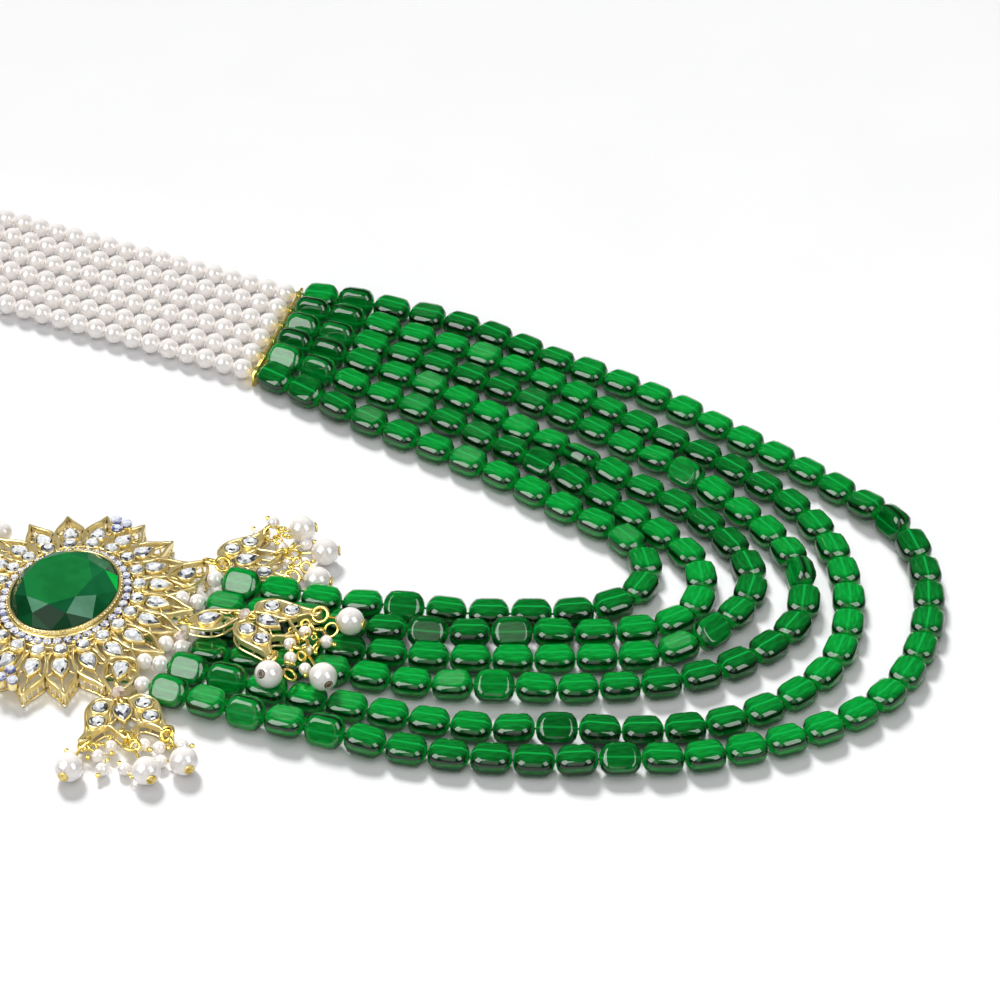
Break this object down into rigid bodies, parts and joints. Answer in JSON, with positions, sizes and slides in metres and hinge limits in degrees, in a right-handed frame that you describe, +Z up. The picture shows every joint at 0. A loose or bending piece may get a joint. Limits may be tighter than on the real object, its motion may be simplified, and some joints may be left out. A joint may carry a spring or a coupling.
{
  "type": "layered necklace",
  "caption": "Layered necklace of green glass beads and pearls with an oval openwork side brooch, green centre stone and hanging drops, lying flat in a U.",
  "frame": {"origin": "middle of the footprint of the necklace as it lies, on the table", "axes": "+Z up from the table, +Y from the bottom of the U towards the neck and the clasp, +X from the brooch arm towards the spacer arm"},
  "size_m": [0.2476, 0.452, 0.0152],
  "materials": {
    "green_glass": "polished",
    "thread": "matt",
    "pearl": "pearl lustre",
    "centre_glass": "polished, faceted",
    "clear_glass": "polished, foil backed",
    "bright_gold": "polished",
    "drop_pearl": "pearl lustre",
    "antique_gold": "satin"
  },
  "bodies": {
    "root": {"green_string_1": "green_glass", "green_string_2": "green_glass", "green_string_3": "green_glass", "green_string_4": "green_glass", "green_string_5": "green_glass", "green_string_6": "green_glass", "thread_1": "thread", "thread_2": "thread", "thread_3": "thread", "thread_4": "thread", "thread_5": "thread", "thread_6": "thread", "far_pearls_1": "pearl", "far_pearls_2": "pearl", "far_pearls_3": "pearl", "far_pearls_4": "pearl", "far_pearls_5": "pearl", "far_pearls_6": "pearl", "near_pearls_1": "pearl", "near_pearls_2": "pearl", "near_pearls_3": "pearl", "near_pearls_4": "pearl", "near_pearls_5": "pearl", "near_pearls_6": "pearl", "joining_pearls": "pearl", "spacer_bar": "bright_gold", "far_end_bar": "bright_gold", "near_end_bar": "bright_gold", "clasp": "bright_gold", "brooch_frame": "antique_gold", "centre_stone": "centre_glass", "petal_stones": "clear_glass", "leaf_link": "antique_gold", "link_rings": "antique_gold", "drop_a_fan": "antique_gold", "drop_a_ring": "antique_gold", "drop_a_pearls": "drop_pearl", "drop_b_fan": "antique_gold", "drop_b_ring": "antique_gold", "drop_b_pearls": "drop_pearl", "drop_c_fan": "antique_gold", "drop_c_ring": "antique_gold", "drop_c_pearls": "drop_pearl"}
  },
  "joints": []
}
